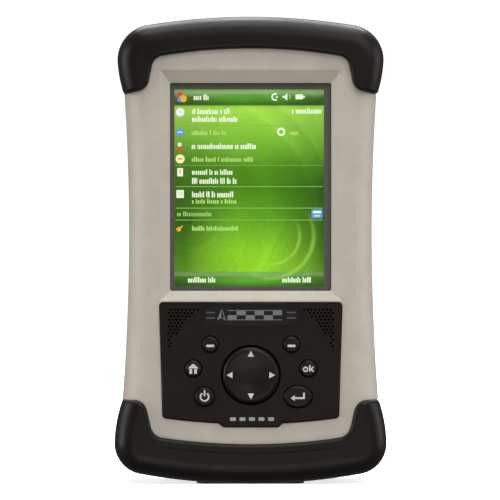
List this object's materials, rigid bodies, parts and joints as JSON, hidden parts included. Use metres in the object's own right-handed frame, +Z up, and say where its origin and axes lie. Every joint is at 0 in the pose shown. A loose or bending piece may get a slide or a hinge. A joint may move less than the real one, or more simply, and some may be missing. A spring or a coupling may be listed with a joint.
{
  "type": "data collector",
  "caption": "Rugged hand-held field data collector with a colour touch screen, keypad, rubber end boots, battery boot, card bay, hand strap and stylus.",
  "frame": {"origin": "centre of the flat foot under the battery boot, on the mid-plane of the two boots", "axes": "+X to the user's right, +Y away from the user (the screen faces -Y), +Z up along the length"},
  "size_m": [0.0962, 0.0568, 0.165],
  "materials": {
    "housing_grey": "fine-textured moulded warm grey",
    "boot_rubber": "matte near-black moulded rubber",
    "inner_plastic": "black glass-filled plastic",
    "keypad_black": "satin black plate",
    "badge_metal": "blue-grey anodised strip",
    "mesh_metal": "fine dark mesh",
    "key_black": "satin black caps with printed marks",
    "screen_glass": "touch film",
    "display_module": "lit colour display",
    "plain_steel": "plain",
    "seal_rubber": "soft black seal",
    "circuit_board": "green solder mask",
    "connector_plastic": "black moulded",
    "contact_gold": "gold-plated",
    "cell_sleeve": "shrink sleeve",
    "webbing": "woven black nylon",
    "pad_foam": "padded black knit",
    "stylus_plastic": "black barrel",
    "stylus_tip_plastic": "hard pale tip"
  },
  "bodies": {
    "main_unit": {"antenna": "circuit_board", "badge_plate": "badge_metal", "board_connectors": "connector_plastic", "bracket_screws": "plain_steel", "card_bay": "connector_plastic", "card_bay_seal": "seal_rubber", "card_contacts": "contact_gold", "display_frame": "plain_steel", "display_panel": "display_module", "dock_connector": "connector_plastic", "dock_pins": "contact_gold", "dome_switches": "plain_steel", "front_housing": "housing_grey", "grille_meshes": "mesh_metal", "housing_screws": "plain_steel", "housing_seal": "seal_rubber", "keypad_board": "circuit_board", "keypad_membrane": "seal_rubber", "keypad_plate": "keypad_black", "main_board": "circuit_board", "memory_chips": "inner_plastic", "microphone": "connector_plastic", "pad_yoke": "inner_plastic", "rear_housing": "housing_grey", "screen_gasket": "seal_rubber", "shield_cans": "plain_steel", "speaker": "connector_plastic", "strap_brackets": "inner_plastic", "strap_pad": "pad_foam", "strap_pins": "plain_steel", "strap_webbing": "webbing", "stylus_loops": "webbing", "touch_panel": "screen_glass", "vent_plug": "seal_rubber"},
    "top_cap": {"top_boot": "boot_rubber", "card_cap": "inner_plastic", "top_screws": "plain_steel"},
    "power_module": {"bottom_boot": "boot_rubber", "power_module_case": "inner_plastic", "power_module_lid": "inner_plastic", "battery_cells": "cell_sleeve", "port_board": "circuit_board", "serial_port_shell": "plain_steel", "serial_port_insert": "connector_plastic", "serial_port_pins": "contact_gold", "serial_jackscrews": "plain_steel", "usb_socket": "plain_steel", "charge_jack": "connector_plastic", "module_contacts": "contact_gold", "bottom_screws": "plain_steel"},
    "pad_cross": {"pad_spider": "plain_steel"},
    "direction_pad": {"direction_pad": "key_black"},
    "stylus": {"stylus_barrel": "stylus_plastic", "stylus_tip": "stylus_tip_plastic"},
    "left_soft_key": {"left_soft_key": "key_black"},
    "right_soft_key": {"right_soft_key": "key_black"},
    "menu_key": {"menu_key": "key_black"},
    "ok_key": {"ok_key": "key_black"},
    "power_key": {"power_key": "key_black"},
    "enter_key": {"enter_key": "key_black"}
  },
  "joints": [
    {"name": "top_cap_slide", "type": "slide", "parent": "main_unit", "child": "top_cap", "axis": [0, 0, 1], "range_m": [0, 0.04]},
    {"name": "power_module_slide", "type": "slide", "parent": "power_module", "child": "main_unit", "axis": [0, 0, 1], "range_m": [0, 0.05]},
    {"name": "stylus_slide", "type": "slide", "parent": "main_unit", "child": "stylus", "axis": [0, 0, 1], "range_m": [0, 0.11]},
    {"name": "left_soft_key_press", "type": "slide", "parent": "main_unit", "child": "left_soft_key", "axis": [0, 1, 0], "range_m": [0, 0.0006], "stiffness_N_per_m": 2000},
    {"name": "right_soft_key_press", "type": "slide", "parent": "main_unit", "child": "right_soft_key", "axis": [0, 1, 0], "range_m": [0, 0.0006], "stiffness_N_per_m": 2000},
    {"name": "menu_key_press", "type": "slide", "parent": "main_unit", "child": "menu_key", "axis": [0, 1, 0], "range_m": [0, 0.0006], "stiffness_N_per_m": 2000},
    {"name": "ok_key_press", "type": "slide", "parent": "main_unit", "child": "ok_key", "axis": [0, 1, 0], "range_m": [0, 0.0006], "stiffness_N_per_m": 2000},
    {"name": "power_key_press", "type": "slide", "parent": "main_unit", "child": "power_key", "axis": [0, 1, 0], "range_m": [0, 0.0006], "stiffness_N_per_m": 2000},
    {"name": "enter_key_press", "type": "slide", "parent": "main_unit", "child": "enter_key", "axis": [0, 1, 0], "range_m": [0, 0.0006], "stiffness_N_per_m": 2000},
    {"name": "pad_tilt_sideways", "type": "hinge", "parent": "main_unit", "child": "pad_cross", "pos_m": [0, -0.0171, 0.0386], "axis": [0, 0, 1], "range_deg": [-3.5, 3.5], "stiffness_Nm_per_rad": 0.18},
    {"name": "pad_tilt_up_down", "type": "hinge", "parent": "pad_cross", "child": "direction_pad", "pos_m": [0, -0.0171, 0.0386], "axis": [1, 0, 0], "range_deg": [-3.5, 3.5], "stiffness_Nm_per_rad": 0.18}
  ]
}
